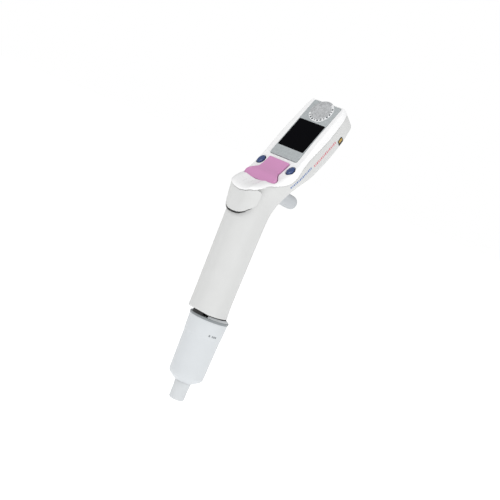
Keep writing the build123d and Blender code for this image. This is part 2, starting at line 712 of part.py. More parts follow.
# ---- liquid end -----------------------------------------------------------------------
CYLINDER_RADIUS = 11.0
NECK_RADIUS = 9.0
with BuildPart() as tip_cone:
    add(turned([
        (3.0, 4.2), (4.5, 4.2), (4.5, 0.0), (5.7, 0.0),
        (CONE_LAND_RADIUS, 1.2), (CONE_LAND_RADIUS, 9.0), (6.95, 15.0), (7.0, 26.0),
        (10.4, 26.0), (10.4, 29.0), (6.4, 29.0), (6.4, 34.6), (3.0, 34.6),
    ]))
save(tip_cone, "tip_cone")

with BuildPart() as tip_filter:
    add(tube(4.5, 0, 0.2, 4.2))
save(tip_filter, "tip_filter")

with BuildPart() as cone_seal:
    add(tube(9.4, 8.0, 29.0, 29.8))
save(cone_seal, "cone_seal")

with BuildPart() as volume_cylinder:
    add(turned([
        (6.4, 29.0), (CYLINDER_RADIUS, 29.0), (CYLINDER_RADIUS, 32.0), (12.9, 32.0), (12.9, SPRING_SEAT),
        (CYLINDER_RADIUS, SPRING_SEAT), (CYLINDER_RADIUS, 66.0), (NECK_RADIUS, 66.0), (NECK_RADIUS, 77.5),
        (PISTON_RADIUS, 77.5), (PISTON_RADIUS, 36.5), (3.0, 36.5), (3.0, 34.6), (6.4, 34.6),
    ]))
    add(tube(9.4, 8.0, 29.0, 29.8), mode=Mode.SUBTRACT)
save(volume_cylinder, "volume_cylinder")

with BuildPart() as coupling_collar:
    add(turned([
        (NECK_RADIUS, 66.2), (CORE_RADIUS, 66.2), (CORE_RADIUS, HANDLE_BOTTOM),
        (SPIGOT_RADIUS, HANDLE_BOTTOM), (SPIGOT_RADIUS, 81.5), (6.0, 81.5), (6.0, 77.5), (NECK_RADIUS, 77.5),
    ]))
save(coupling_collar, "coupling_collar")

PISTON_LOW = 37.5
with BuildPart() as piston:
    add(turned([
        (0, PISTON_LOW), (7.4, PISTON_LOW), (7.7, PISTON_LOW + 0.3), (7.7, 40.2), (6.3, 40.2), (6.3, 42.6),
        (7.7, 42.6), (7.7, 45.0), (0, 45.0),
    ]))
save(piston, "piston")

with BuildPart() as piston_seal:
    add(tube(PISTON_RADIUS - 0.05, 6.3, 40.2, 42.6))
    fillet(piston_seal.edges().filter_by(GeomType.CIRCLE).group_by(SortBy.RADIUS)[-1], 0.5)
save(piston_seal, "piston_seal")

ROD_RADIUS = 3.0
SCREW_OUTER = 2.5
with BuildPart() as piston_rod:
    add(tube(ROD_RADIUS, 0, 45.0, 84.0))
save(piston_rod, "piston_rod")

with BuildPart() as rod_guide:
    add(tube(PISTON_RADIUS, ROD_RADIUS + 0.06, 74.0, 77.5))
save(rod_guide, "rod_guide")

with BuildPart() as lead_screw:
    add(tube(SCREW_OUTER, 0, 84.0, 150.0))
    chamfer(lead_screw.edges().sort_by(Axis.Z)[-1], 0.6)
save(lead_screw, "lead_screw")

# ---- drive motor ------------------------------------------------------------------------
MOTOR_LOW = 112.0
MOTOR_HIGH = 140.0
MOTOR_RADIUS = 9.0
BEARING_RADIUS = 5.0
BEARING_WIDTH = 2.5
HUB_RADIUS = 3.5
with BuildPart() as motor_mount:
    add(turned([
        (7.6, 81.5), (9.3, 81.5), (9.3, MOTOR_LOW), (4.4, MOTOR_LOW), (4.4, MOTOR_LOW - 2.6),
        (7.6, MOTOR_LOW - 2.6),
    ]))
save(motor_mount, "motor_mount")

with BuildPart() as motor_housing:
    add(turned([
        (BEARING_RADIUS, MOTOR_LOW), (MOTOR_RADIUS, MOTOR_LOW), (MOTOR_RADIUS, MOTOR_HIGH),
        (BEARING_RADIUS, MOTOR_HIGH), (BEARING_RADIUS, MOTOR_HIGH - BEARING_WIDTH),
        (7.0, MOTOR_HIGH - BEARING_WIDTH), (7.0, MOTOR_LOW + BEARING_WIDTH),
        (BEARING_RADIUS, MOTOR_LOW + BEARING_WIDTH),
    ]))
save(motor_housing, "motor_housing")

with BuildPart() as motor_bearings:
    for low in (MOTOR_LOW, MOTOR_HIGH - BEARING_WIDTH):
        add(tube(BEARING_RADIUS, HUB_RADIUS + 0.05, low, low + BEARING_WIDTH))
save(motor_bearings, "motor_bearings")

with BuildPart() as motor_rotor:
    add(tube(HUB_RADIUS, 0, MOTOR_LOW, MOTOR_HIGH))
    add(tube(6.6, 0, MOTOR_LOW + BEARING_WIDTH + 0.5, MOTOR_HIGH - BEARING_WIDTH - 0.5))
    add(tube(SCREW_OUTER + 0.06, 0, MOTOR_LOW, MOTOR_HIGH), mode=Mode.SUBTRACT)
save(motor_rotor, "motor_rotor")

with BuildPart() as position_sensor:
    with BuildSketch(Plane.XY.offset(MOTOR_HIGH)):
        with Locations((6.2, 0)):
            RectangleRounded(4.0, 6.0, 0.5)
    extrude(amount=4.5)
save(position_sensor, "position_sensor")
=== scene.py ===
"""Looks of the electronic adjustable pipette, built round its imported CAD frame.

+Z runs up the tip cone, the control face looks towards -Y. Shapes are worked out in
millimetres, as in the part's own drawing, and turned into metres when a mesh is made.
The camera, the floor, the lights and the sizes inside materials are in metres.
"""
import json
from math import atan2, cos, pi, radians, sin

import bmesh
import bpy
from mathutils import Matrix, Vector
from mathutils.bvhtree import BVHTree


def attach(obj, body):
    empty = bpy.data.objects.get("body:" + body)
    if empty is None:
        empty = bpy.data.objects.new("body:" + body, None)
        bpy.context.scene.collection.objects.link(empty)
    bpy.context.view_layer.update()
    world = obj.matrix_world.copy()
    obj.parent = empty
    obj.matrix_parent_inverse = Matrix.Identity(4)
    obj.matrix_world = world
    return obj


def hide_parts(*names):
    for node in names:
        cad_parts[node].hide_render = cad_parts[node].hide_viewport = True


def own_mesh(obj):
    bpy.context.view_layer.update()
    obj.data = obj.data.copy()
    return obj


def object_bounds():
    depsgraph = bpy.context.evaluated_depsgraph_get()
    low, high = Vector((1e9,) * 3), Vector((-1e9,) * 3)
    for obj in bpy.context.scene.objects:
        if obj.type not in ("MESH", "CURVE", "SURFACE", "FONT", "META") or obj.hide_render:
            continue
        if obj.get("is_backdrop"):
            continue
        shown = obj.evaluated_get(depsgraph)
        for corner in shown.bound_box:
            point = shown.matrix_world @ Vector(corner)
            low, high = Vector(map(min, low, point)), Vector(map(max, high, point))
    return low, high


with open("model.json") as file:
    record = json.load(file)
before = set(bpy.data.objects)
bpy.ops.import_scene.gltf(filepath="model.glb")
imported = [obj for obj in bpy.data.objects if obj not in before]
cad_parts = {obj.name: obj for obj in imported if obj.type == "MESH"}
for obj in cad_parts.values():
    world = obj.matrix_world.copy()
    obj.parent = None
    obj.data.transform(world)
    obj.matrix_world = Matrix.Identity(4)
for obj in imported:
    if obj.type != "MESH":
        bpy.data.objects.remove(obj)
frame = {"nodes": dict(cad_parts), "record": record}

CAD_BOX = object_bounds()
MM = 0.001
scene = bpy.context.scene
slot_of = {row["node"]: row["material_slot"] for row in frame["record"]["subparts"]}

# ---- camera ---------------------------------------------------------------------
CAMERA_AZIMUTH = radians(40.0)
CAMERA_ELEVATION = radians(4.09)
CAMERA_ROLL = radians(22.35)
CAMERA_DISTANCE = 1.054
CAMERA_TARGET = Vector((0.013, 0.0, 0.1385))
SENSOR = 36.0               # width of the sensor and focal length, in millimetres
FOCAL = 92.98


def add_camera():
    towards = Vector((
        sin(CAMERA_AZIMUTH) * cos(CAMERA_ELEVATION),
        -cos(CAMERA_AZIMUTH) * cos(CAMERA_ELEVATION),
        sin(CAMERA_ELEVATION),
    ))
    across = Vector((cos(CAMERA_AZIMUTH), sin(CAMERA_AZIMUTH), 0.0))
    up = towards.cross(across)
    right = across * cos(CAMERA_ROLL) + up * sin(CAMERA_ROLL)
    top = up * cos(CAMERA_ROLL) - across * sin(CAMERA_ROLL)
    data = bpy.data.cameras.new("camera")
    data.lens = FOCAL
    data.sensor_width = SENSOR
    camera = bpy.data.objects.new("camera", data)
    scene.collection.objects.link(camera)
    turn = Matrix((right, top, towards)).transposed().to_4x4()
    camera.matrix_world = Matrix.Translation(CAMERA_TARGET + towards * CAMERA_DISTANCE) @ turn
    scene.camera = camera


add_camera()


# ---- materials ------------------------------------------------------------------
NOISE_LOW = 0.3             # most of a noise lies between these two
NOISE_HIGH = 0.7
PATCH_SCALE = 400.0         # size of the patches whose gloss differs, as noise scale
PLASTIC_GLOSS_SPREAD = 0.05
PLASTIC_BUMP = 0.35
COAT_ROUGHNESS = 0.12
LINE_SCALE = 300.0
METAL_TONE_SPREAD = 0.08
METAL_GLOSS_SPREAD = 0.08
METAL_DEPTH = 0.00001
METAL_BUMP = 0.4


class Nodes:
    """A material's node tree with a Principled shader and a texture space in metres."""

    def __init__(self, name):
        self.material = bpy.data.materials.new(name)
        self.material.use_nodes = True
        self.tree = self.material.node_tree
        self.shader = self.tree.nodes["Principled BSDF"]
        self.place = self.add("ShaderNodeTexCoord").outputs["Object"]

    def add(self, kind, **settings):
        node = self.tree.nodes.new(kind)
        for key, value in settings.items():
            setattr(node, key, value)
        return node

    def link(self, source, target):
        self.tree.links.new(source, target)

    def noise(self, scale, detail=3.0, stretch=(1, 1, 1)):
        """Noise whose features are about 1/scale metres wide."""
        mapping = self.add("ShaderNodeMapping")
        mapping.inputs["Scale"].default_value = stretch
        self.link(self.place, mapping.inputs["Vector"])
        noise = self.add("ShaderNodeTexNoise")
        noise.inputs["Scale"].default_value = scale
        noise.inputs["Detail"].default_value = detail
        self.link(mapping.outputs["Vector"], noise.inputs["Vector"])
        return noise.outputs["Fac"]

    def between(self, factor, low, high):
        """Stretches the middle of a noise onto low to high."""
        remap = self.add("ShaderNodeMapRange")
        remap.inputs["From Min"].default_value = NOISE_LOW
        remap.inputs["From Max"].default_value = NOISE_HIGH
        remap.inputs["To Min"].default_value = low
        remap.inputs["To Max"].default_value = high
        self.link(factor, remap.inputs["Value"])
        return remap.outputs["Result"]

    def tone(self, factor, colour, spread):
        """Colour that varies about its value by spread."""
        mix = self.add("ShaderNodeMix", data_type="RGBA")
        dark = [c * (1 - spread) for c in colour]
        light = [min(1.0, c * (1 + spread)) for c in colour]
        mix.inputs["A"].default_value = (*dark, 1)
        mix.inputs["B"].default_value = (*light, 1)
        self.link(self.between(factor, 0.0, 1.0), mix.inputs["Factor"])
        return mix.outputs["Result"]

    def bump(self, height, distance, strength):
        bump = self.add("ShaderNodeBump")
        bump.inputs["Strength"].default_value = strength
        bump.inputs["Distance"].default_value = distance
        self.link(height, bump.inputs["Height"])
        self.link(bump.outputs["Normal"], self.shader.inputs["Normal"])

    def set(self, **values):
        for key, value in values.items():
            self.shader.inputs[key.replace("_", " ")].default_value = value


def plastic(name, colour, roughness, grain=2500.0, depth=0.00002, coat=0.0,
            spread=0.012, gloss=0.5, mottle=90.0):
    """Moulded plastic with a fine grain and slightly uneven tone."""
    m = Nodes(name)
    m.link(m.tone(m.noise(mottle), colour, spread), m.shader.inputs["Base Color"])
    patches = m.noise(PATCH_SCALE)
    dull = m.between(patches, roughness - PLASTIC_GLOSS_SPREAD, roughness + PLASTIC_GLOSS_SPREAD)
    m.link(dull, m.shader.inputs["Roughness"])
    m.bump(m.noise(grain, detail=4.0), depth, PLASTIC_BUMP)
    m.set(Coat_Weight=coat, Coat_Roughness=COAT_ROUGHNESS, Specular_IOR_Level=gloss)
    return m.material


def metal(name, colour, roughness, stretch):
    """Metal with fine machining lines that run square to the axes that stretch scales most."""
    m = Nodes(name)
    lines = m.noise(LINE_SCALE, 6.0, stretch)
    m.link(m.tone(lines, colour, METAL_TONE_SPREAD), m.shader.inputs["Base Color"])
    dull = m.between(lines, roughness - METAL_GLOSS_SPREAD, roughness + METAL_GLOSS_SPREAD)
    m.link(dull, m.shader.inputs["Roughness"])
    m.bump(lines, METAL_DEPTH, METAL_BUMP)
    m.set(Metallic=1.0)
    return m.material


materials = {
    "shell_white": plastic("shell_white", (0.88, 0.88, 0.885), 0.30, coat=0.25),
    "shell_grey": plastic("shell_grey", (0.625, 0.63, 0.625), 0.50),
    "sleeve_grey": plastic("sleeve_grey", (0.62, 0.645, 0.665), 0.45),
    "cone_grey": plastic("cone_grey", (0.60, 0.62, 0.635), 0.45),
    "panel_silver": plastic(
        "panel_silver", (0.40, 0.43, 0.44), 0.40, grain=900.0, depth=0.00004, spread=0.10, mottle=700
    ),
    "display_black": plastic("display_black", (0.002, 0.002, 0.003), 0.3, depth=0.000002, gloss=0.02),
    "dial_grey": plastic("dial_grey", (0.45, 0.46, 0.47), 0.40, spread=0.22, mottle=600),
    "rocker_violet": plastic("rocker_violet", (0.62, 0.27, 0.50), 0.42),
    "key_navy": plastic("key_navy", (0.02, 0.05, 0.17), 0.25, coat=0.4),
    "rest_grey": plastic("rest_grey", (0.48, 0.50, 0.52), 0.50),
    "ring_grey": plastic("ring_grey", (0.24, 0.26, 0.27), 0.42),
    # this black is also used as painted shadow under the ejector button's lip and painted shade on the
    # ring's shoulder under the handle
    "recess_black": plastic("recess_black", (0.008, 0.008, 0.008), 0.6),
    "inner_plastic": plastic("inner_plastic", (0.05, 0.053, 0.057), 0.5),
    "steel": metal("steel", (0.55, 0.56, 0.57), 0.28, (1, 1, 8)),
    "spring_steel": metal("spring_steel", (0.50, 0.51, 0.52), 0.30, (4, 4, 1)),
    "motor_steel": metal("motor_steel", (0.10, 0.105, 0.11), 0.40, (1, 1, 6)),
    "contact_gold": metal("contact_gold", (0.80, 0.55, 0.18), 0.22, (1, 6, 1)),
    "board_green": plastic("board_green", (0.01, 0.08, 0.03), 0.35, spread=0.2),
    "battery_wrap": plastic("battery_wrap", (0.02, 0.07, 0.25), 0.30, coat=0.3),
    "seal_rubber": plastic("seal_rubber", (0.012, 0.012, 0.013), 0.7, 1500.0, 0.00005),
    "filter_white": plastic("filter_white", (0.80, 0.80, 0.77), 0.85, 1200.0, 0.0002),
    "piston_white": plastic("piston_white", (0.78, 0.79, 0.80), 0.2, coat=0.3),
}


def finish_with(obj, slot):
    """Gives an object the material of a slot."""
    if obj.material_slots:
        obj.material_slots[0].material = materials[slot]
    else:
        obj.data.materials.append(materials[slot])


for name, node in frame["nodes"].items():
    finish_with(node, slot_of[name])


# ---- mesh helpers -----------------------------------------------------------------
LONGEST_CUT = 0.45          # a rounded corner takes at most this share of each side
CORNER_STEPS = 4
ROUND_STEPS = 128           # points round a turned piece


def show(mesh, name, body, slot, replaced=(), finish=None):
    """Puts a finished mesh in the scene, riding on a body."""
    for face in mesh.polygons:
        face.use_smooth = True
    piece = bpy.data.objects.new(name, mesh)
    scene.collection.objects.link(piece)
    piece.data.materials.append(finish or materials[slot])
    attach(piece, body)
    if replaced:
        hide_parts(*replaced)
    return piece


def softened(node_name, voxel, passes):
    """Mesh of a CAD node with small even faces and rounded edges."""
    work = bpy.data.objects.new("work", frame["nodes"][node_name].data.copy())
    work.data.materials.clear()
    scene.collection.objects.link(work)
    remesh = work.modifiers.new("remesh", "REMESH")
    remesh.mode = "VOXEL"
    remesh.voxel_size = voxel * MM
    smooth = work.modifiers.new("smooth", "SMOOTH")
    smooth.iterations = passes
    bpy.context.view_layer.update()
    finished = work.evaluated_get(bpy.context.evaluated_depsgraph_get())
    mesh = bpy.data.meshes.new_from_object(finished)
    bpy.data.objects.remove(work)
    mesh.name = node_name
    return mesh


def skin(name, loops, join_ends=False):
    """Mesh through loops of equally many points; its ends are capped or joined to each other."""
    count = len(loops[0])
    rows = len(loops)
    points = [Vector(point) * MM for loop in loops for point in loop]
    faces = []
    for row in range(rows if join_ends else rows - 1):
        here = row * count
        there = (row + 1) % rows * count
        for k in range(count):
            after = (k + 1) % count
            faces.append((here + k, here + after, there + after, there + k))
    if not join_ends:
        faces.append(tuple(range(count)))
        faces.append(tuple(range((rows - 1) * count, rows * count)))
    mesh = bpy.data.meshes.new(name)
    mesh.from_pydata(points, [], faces)
    form = bmesh.new()
    form.from_mesh(mesh)
    bmesh.ops.recalc_face_normals(form, faces=form.faces)
    form.to_mesh(mesh)
    form.free()
    return mesh


def rounded(points, reach):
    """Closed outline with each corner turned into a short curve that starts reach before it."""
    result = []
    for i, corner in enumerate(points):
        corner = Vector(corner)
        before = Vector(points[i - 1]) - corner
        after = Vector(points[(i + 1) % len(points)]) - corner
        start = corner + before.normalized() * min(reach, before.length * LONGEST_CUT)
        end = corner + after.normalized() * min(reach, after.length * LONGEST_CUT)
        for k in range(CORNER_STEPS + 1):
            u = k / CORNER_STEPS
            result.append(start * (1 - u) ** 2 + corner * 2 * u * (1 - u) + end * u**2)
    return result


def lathe(name, profile):
    """Solid of revolution about Z from a closed (radius, Z) profile."""
    loops = []
    for k in range(ROUND_STEPS):
        angle = 2 * pi * k / ROUND_STEPS
        loops.append([(r * cos(angle), r * sin(angle), z) for r, z in profile])
    return skin(name, loops, join_ends=True)


class Place:
    """A sloping face with an origin: X runs across it, up runs up it and out points out of it."""

    def __init__(self, origin, lean):
        self.origin = Vector(origin)
        self.up = Vector((0, sin(lean), cos(lean)))
        self.out = Vector((0, -cos(lean), sin(lean)))

    def point(self, x, up, out):
        return self.origin + Vector((x, 0, 0)) + self.up * up + self.out * out


TILT = radians(27.6)        # lean of the control face
FACE_TOP = (37.4, 274.0)    # (Y, Z) of the control panel's top edge


def face_place(t):
    """Place on the middle of the control face, t down from the panel's top edge."""
    return Place((0.0, FACE_TOP[0] - t * sin(TILT), FACE_TOP[1] - t * cos(TILT)), TILT)


def smooth_step(u):
    """Goes smoothly from 0 to 1 as u does."""
    u = min(max(u, 0.0), 1.0)
    return u * u * (3 - 2 * u)


def along(points, x):
    """Height at x on a line through (x, height) points."""
    for (x0, y0), (x1, y1) in zip(points, points[1:]):
        if x <= x1:
            return y0 + (y1 - y0) * (x - x0) / (x1 - x0)
    return points[-1][1]


# ---- shells and button --------------------------------------------------------------
# (distance from the middle, rise): the seam under the chin rises beside the middle and comes back down
SEAM_RISE = ((0.0, 0.2), (6.0, 1.2), (11.0, 2.9), (15.5, 2.6), (18.5, 1.5), (23.0, 0.0))
SEAM_LINE = ((-40.0, 171.1), (-26.0, 181.6), (-17.5, 188.0), (-7.9, 194.3))     # (Y, Z)
SEAM_REACH = 9.0            # the bend dies out this far above and below the seam
SEAM_BACK_Y = -8.0          # and towards this Y, over this length
SEAM_FADE = 6.0


def curve_seam(mesh):
    """Bends the straight seam between chin, button and handle into its real curve."""
    for vertex in mesh.vertices:
        x, y, z = vertex.co / MM
        if y > SEAM_BACK_Y:
            continue
        near = smooth_step(1 - abs(z - along(SEAM_LINE, y)) / SEAM_REACH)
        front = smooth_step((SEAM_BACK_Y - y) / SEAM_FADE)
        vertex.co.z += along(SEAM_RISE, abs(x)) * near * front * MM


HEAD_END_T = -1.0           # the head's end, down from the panel's top edge, so just above it
END_REACH = 9.0             # the head starts to narrow this far before its end
END_NARROWING = 0.42
END_MOST = 1.2              # limit of the narrowing beyond the head's end
END_DEEP_SHARE = 0.6        # the narrowing loses this share of itself
END_DEEP = 24.0             # over this depth behind the control face
PANEL_HALF = 15.4           # everything within this of the middle keeps its shape


def narrow_end(mesh):
    """Rounds the head's two top corners, which draw in beside the control panel."""
    for vertex in mesh.vertices:
        x, y, z = vertex.co / MM
        t = (FACE_TOP[0] - y) * sin(TILT) + (FACE_TOP[1] - z) * cos(TILT)
        if t < HEAD_END_T + END_REACH and abs(x) > PANEL_HALF:
            near = (1 - (t - HEAD_END_T) / END_REACH) ** 2
            depth = (y - FACE_TOP[0]) * cos(TILT) - (z - FACE_TOP[1]) * sin(TILT)
            deep = 1 - END_DEEP_SHARE * smooth_step(depth / END_DEEP)
            amount = END_NARROWING * min(near, END_MOST) * deep
            beside = (abs(x) - PANEL_HALF) * (1 - amount)
            vertex.co.x = (PANEL_HALF + beside) * MM * (1 if x > 0 else -1)


# size of the remesh's cells in millimetres, number of smoothing passes
SHELLS = {
    "front_shell": (0.40, 4),
    "body_shell": (0.68, 4),
    "battery_cover": (0.50, 3),
}
for name, (voxel, passes) in SHELLS.items():
    shell = softened(name, voxel, passes)
    curve_seam(shell)
    narrow_end(shell)
    show(shell, name + "_moulding", "body", slot_of[name], [name])

LIP_FRONT = (-24.3, 162.1)  # (Y, Z) of the straight lip's lowest point
LIP_SLOPE = 2.08
# (distance from the middle, shift): turns the straight lip into one even curve
LIP_SHIFT = ((0.0, 1.5), (5.0, 1.9), (9.0, 1.4), (13.0, 0.5), (15.5, -1.2), (17.0, -2.2))
LIP_REACH = 11.0            # the shift dies out this far above and below the lip
BUTTON_VOXEL = 0.30
BUTTON_PASSES = 5
BAND_DROP = 1.35            # height of the black band under the lip, a painted shadow where the lip overhangs the handle
BAND_FULL = 1.3             # the band is full up to (BAND_FULL - 1) * BAND_FADE from the middle
BAND_FADE = 16.0            # and thins to nothing over this distance
BAND_INSET = 0.45
BAND_HEIGHT = 4.0           # the painted shadow band reaches this far up inside the lip
BAND_BACK_Y = -19.6         # and stops short of the button's thin side edges


def above_lip(point):
    """Height of a point above the straight lip."""
    return point.z - LIP_FRONT[1] - (point.y - LIP_FRONT[0]) * LIP_SLOPE


def curve_lip(mesh):
    """Bends the straight lip into its real curve."""
    for vertex in mesh.vertices:
        point = vertex.co / MM
        near = smooth_step(1 - abs(above_lip(point)) / LIP_REACH)
        vertex.co.z += along(LIP_SHIFT, abs(point.x)) * near * MM


def trim(mesh, point, normal):
    """Cuts away the side of a plane that normal points to, and closes the cut."""
    form = bmesh.new()
    form.from_mesh(mesh)
    bmesh.ops.bisect_plane(
        form, geom=form.verts[:] + form.edges[:] + form.faces[:],
        plane_co=Vector(point) * MM, plane_no=Vector(normal).normalized(), clear_outer=True,
    )
    rim = [edge for edge in form.edges if edge.is_boundary]
    bmesh.ops.holes_fill(form, edges=rim, sides=0)
    form.to_mesh(mesh)
    form.free()


button = softened("ejector_button", BUTTON_VOXEL, BUTTON_PASSES)
# a sunk, lowered black copy of the button below its lip is painted shadow under the lip, not a part
band = button.copy()
outward = [Vector((v.co.x, v.co.y, 0)).normalized() for v in band.vertices]
outside = [v.normal.dot(way) > 0.0 for v, way in zip(band.vertices, outward)]
for vertex, way, is_outside in zip(band.vertices, outward, outside):
    point = vertex.co / MM
    drop = BAND_DROP * smooth_step(BAND_FULL - abs(point.x) / BAND_FADE)
    if is_outside:
        vertex.co -= way * BAND_INSET * MM
    vertex.co.z -= drop * MM
trim(band, (0, LIP_FRONT[0], LIP_FRONT[1] + BAND_HEIGHT), (0, -LIP_SLOPE, 1))
trim(band, (0, BAND_BACK_Y, 0), (0, 1, 0))
curve_lip(button)
curve_lip(band)
curve_seam(button)
show(button, "ejector_button_cap", "ejector", slot_of["ejector_button"], ["ejector_button"])
show(band, "ejector_button_lip_shadow", "ejector", "recess_black")

# ---- rocker, finger rest, panel and display ----------------------------------------
# size of the remesh's cells in millimetres, number of smoothing passes, body
ROUNDED_PIECES = {
    "rocker_key": (0.28, 6, "rocker"),
    "finger_rest": (0.40, 14, "body"),
    "control_panel": (0.30, 1, "body"),
    "display_window": (0.30, 1, "body"),
}
for name, (voxel, passes, body) in ROUNDED_PIECES.items():
    show(softened(name, voxel, passes), name + "_finished", body, slot_of[name], [name])

# ---- soft keys ----------------------------------------------------------------------
KEY_LEAN = radians(36.0)
KEY_CENTRE = (17.1, 4.2, 210.7)
KEY_HALF = (2.95, 4.4)      # half its width, half its height
KEY_TOP = 1.0
KEY_DOME = 0.9
KEY_DOME_RINGS = 9
KEY_DOME_POWER = 0.8        # below 1 the dome is fuller than an ellipse
KEY_ROOT = -2.6
STEM_RADIUS = 1.5
STEM_LENGTH = 0.6
POINTS_ROUND = 64


def ellipse(place, half_width, half_height, out):
    """Loop of points on a place, at a height out of its face."""
    turns = [2 * pi * k / POINTS_ROUND for k in range(POINTS_ROUND)]
    return [place.point(half_width * cos(a), half_height * sin(a), out) for a in turns]


for name, side in (("softkey_left", -1), ("softkey_right", 1)):
    place = Place((side * KEY_CENTRE[0], KEY_CENTRE[1], KEY_CENTRE[2]), KEY_LEAN)
    loops = [
        ellipse(place, STEM_RADIUS, STEM_RADIUS, KEY_ROOT - STEM_LENGTH),
        ellipse(place, STEM_RADIUS, STEM_RADIUS, KEY_ROOT),
        ellipse(place, *KEY_HALF, KEY_ROOT),
    ]
    for k in range(KEY_DOME_RINGS):
        angle = pi / 2 * k / KEY_DOME_RINGS
        size = cos(angle) ** KEY_DOME_POWER
        out = KEY_TOP - KEY_DOME + KEY_DOME * sin(angle)
        loops.append(ellipse(place, KEY_HALF[0] * size, KEY_HALF[1] * size, out))
    show(skin(name, loops), name + "_cap", name, "key_navy", [name])

# ---- dial -------------------------------------------------------------------------------
DIAL_T = 9.1                # dial centre, down from the panel's top edge
KNOB_RADIUS = 8.9
KNOB_TOP = 1.4
FLUTES = 30
FLUTE_STEPS = 8
FLUTE_TOP_SHARE = 0.7       # how much of a flute's depth cuts into the top
FLUTE_RIM_SHARE = 0.6       # and into the rim, which is what lies outside RIM_SIZE
RIM_SIZE = 0.9
LABEL_INNER = 8.6
LABEL_OUTER = 11.2
LABEL_FOOT = -0.2
LABEL_TOP = 0.5
LABEL_ROUNDING = 0.12
dial_place = face_place(DIAL_T)
# share of the radius, share of the height, depth of the flutes there
KNOB_LOOPS = (
    (0.98, 0.0, 0.5), (1.0, 0.15, 0.5), (1.0, 0.95, 0.5), (0.985, 1.0, 0.5),
    (0.96, 1.0, 0.35), (0.92, 1.0, 0.25), (0.86, 1.0, 0.18), (0.80, 1.0, 0.16),
    (0.72, 1.0, 0.16), (0.64, 1.0, 0.12), (0.60, 1.0, 0.0), (0.57, 0.96, 0.0),
    (0.30, 0.94, 0.0), (0.05, 0.94, 0.0),
)


def knob_loop(size, height, flute):
    """Loop round the knob; the flutes cut into its rim and run in over its top."""
    loop = []
    for k in range(FLUTES * FLUTE_STEPS):
        angle = 2 * pi * k / (FLUTES * FLUTE_STEPS)
        groove = flute * (0.5 - 0.5 * cos(FLUTES * angle)) ** 2
        top = KNOB_TOP * height - (groove * FLUTE_TOP_SHARE if height == 1.0 else 0.0)
        radius = KNOB_RADIUS * size - (groove * FLUTE_RIM_SHARE if size > RIM_SIZE else 0.0)
        loop.append(dial_place.point(radius * cos(angle), radius * sin(angle), top))
    return loop


knob = skin("knob", [knob_loop(*row) for row in KNOB_LOOPS])
show(knob, "dial_knob", "dial", "dial_grey", ["selection_dial"])

label_profile = rounded([
    (LABEL_INNER, LABEL_FOOT), (LABEL_OUTER, LABEL_FOOT),
    (LABEL_OUTER, LABEL_TOP), (LABEL_INNER, LABEL_TOP),
], LABEL_ROUNDING)
label_loops = []
for k in range(ROUND_STEPS):
    angle = 2 * pi * k / ROUND_STEPS
    label_loops.append([
        dial_place.point(r * cos(angle), r * sin(angle), out) for r, out in label_profile
    ])
label = show(skin("label_ring", label_loops, join_ends=True), "dial_label_ring", "dial", "dial_grey")
label.data.materials.append(plastic("label_white", (0.80, 0.81, 0.82), 0.45))
WHITE_FROM = radians(-155)  # the ring is white between these directions from its centre
WHITE_TO = radians(62)
for face in label.data.polygons:
    reach = Vector(face.center) / MM - dial_place.origin
    if WHITE_FROM < atan2(reach.dot(dial_place.up), reach.x) < WHITE_TO:
        face.material_index = 1


TILE_SINK = -0.06           # a printed mark's foot, edge and top, out of the surface
TILE_EDGE = 0.03
TILE_TOP = 0.06
TILE_BEVEL = 0.05


def tile(centre, across, up, length, height):
    """Thin bevelled tile for one printed mark."""
    across = across.normalized()
    up = up.normalized()
    out = across.cross(up)
    loops = []
    for shrink, level in ((0.0, TILE_SINK), (0.0, TILE_EDGE), (TILE_BEVEL, TILE_TOP)):
        x = length / 2 - shrink
        y = height / 2 - shrink
        loops.append([
            centre + across * sx * x + up * sy * y + out * level
            for sx, sy in ((-1, -1), (1, -1), (1, 1), (-1, 1))
        ])
    return loops


def joined(name, groups):
    """One mesh of several skins."""
    form = bmesh.new()
    for loops in groups:
        part = skin(name, loops)
        form.from_mesh(part)
        bpy.data.meshes.remove(part)
    mesh = bpy.data.meshes.new(name)
    form.to_mesh(mesh)
    form.free()
    return mesh


MARK_COUNT = 11
MARK_FROM = radians(-140)
MARK_STEP = radians(17)
MARK_RADIUS = 10.0
MARK_HEIGHT = 1.5
MARK_LENGTH = 1.6
MARK_SHORT = 0.8            # length of the first mark and every third one after it
groups = []
for k in range(MARK_COUNT):
    angle = MARK_FROM + k * MARK_STEP
    outwards = dial_place.point(cos(angle), sin(angle), 0) - dial_place.origin
    centre = dial_place.origin + outwards * MARK_RADIUS + dial_place.out * LABEL_TOP
    length = MARK_LENGTH if k % 3 else MARK_SHORT
    groups.append(tile(centre, outwards.cross(dial_place.out), outwards, length, MARK_HEIGHT))
show(joined("dial_marks", groups), "dial_marks", "dial", "inner_plastic",
     finish=plastic("mark_grey", (0.10, 0.11, 0.12), 0.5))

# ---- marks on the right side of the head: plain bars without any lettering ------------
OUTSIDE_X = 60.0            # well outside the head's right side
side_tree = BVHTree.FromObject(
    bpy.data.objects["body_shell_moulding"], bpy.context.evaluated_depsgraph_get()
)


def side_row(start, end, height, lengths, gap):
    """Row of tiles on the head's right side from start to end, both (Y, Z)."""
    way = Vector((0, *end)) - Vector((0, *start))
    run = way.length
    way = way.normalized()
    groups = []
    covered = 0.0
    while covered < run:
        length = lengths[len(groups) % len(lengths)]
        middle = Vector((0, *start)) + way * (covered + length / 2)
        origin = (middle + Vector((OUTSIDE_X, 0, 0))) * MM
        spot, normal, _, _ = side_tree.ray_cast(origin, Vector((-1, 0, 0)))
        across = (way - normal * way.dot(normal)).normalized()
        groups.append(tile(spot / MM, across, normal.cross(across), length, height))
        covered += length + gap
    return groups


